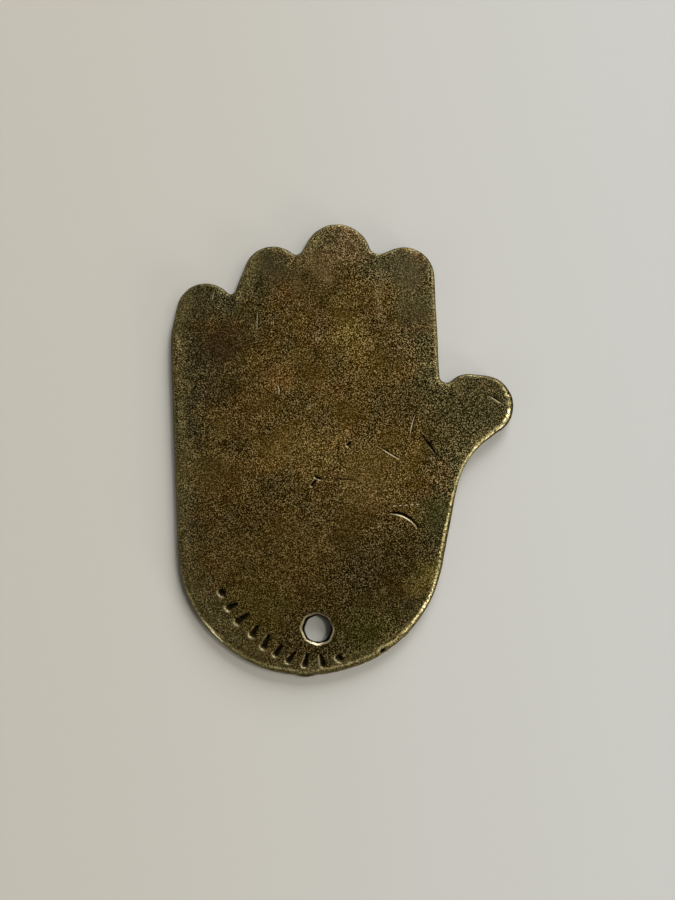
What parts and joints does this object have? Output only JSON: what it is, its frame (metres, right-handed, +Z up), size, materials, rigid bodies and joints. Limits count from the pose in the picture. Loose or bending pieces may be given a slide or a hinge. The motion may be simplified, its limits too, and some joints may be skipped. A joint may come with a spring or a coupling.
{
  "type": "hamsa amulet",
  "caption": "Flat brass plate cut as an open hand with rounded fingertips and a side thumb, with a hole in the round base to hang it by.",
  "frame": {"origin": "under the middle of the plate's box, on the surface that the plate lies on", "axes": "+Y along the hand towards the fingertips, +X towards the thumb, +Z up through the plate's thickness"},
  "size_m": [0.0762, 0.1, 0.003],
  "materials": {
    "aged_brass": "dark brown patina, worn bright along the edges"
  },
  "bodies": {
    "root": {"hamsa_plate": "aged_brass"}
  },
  "joints": []
}
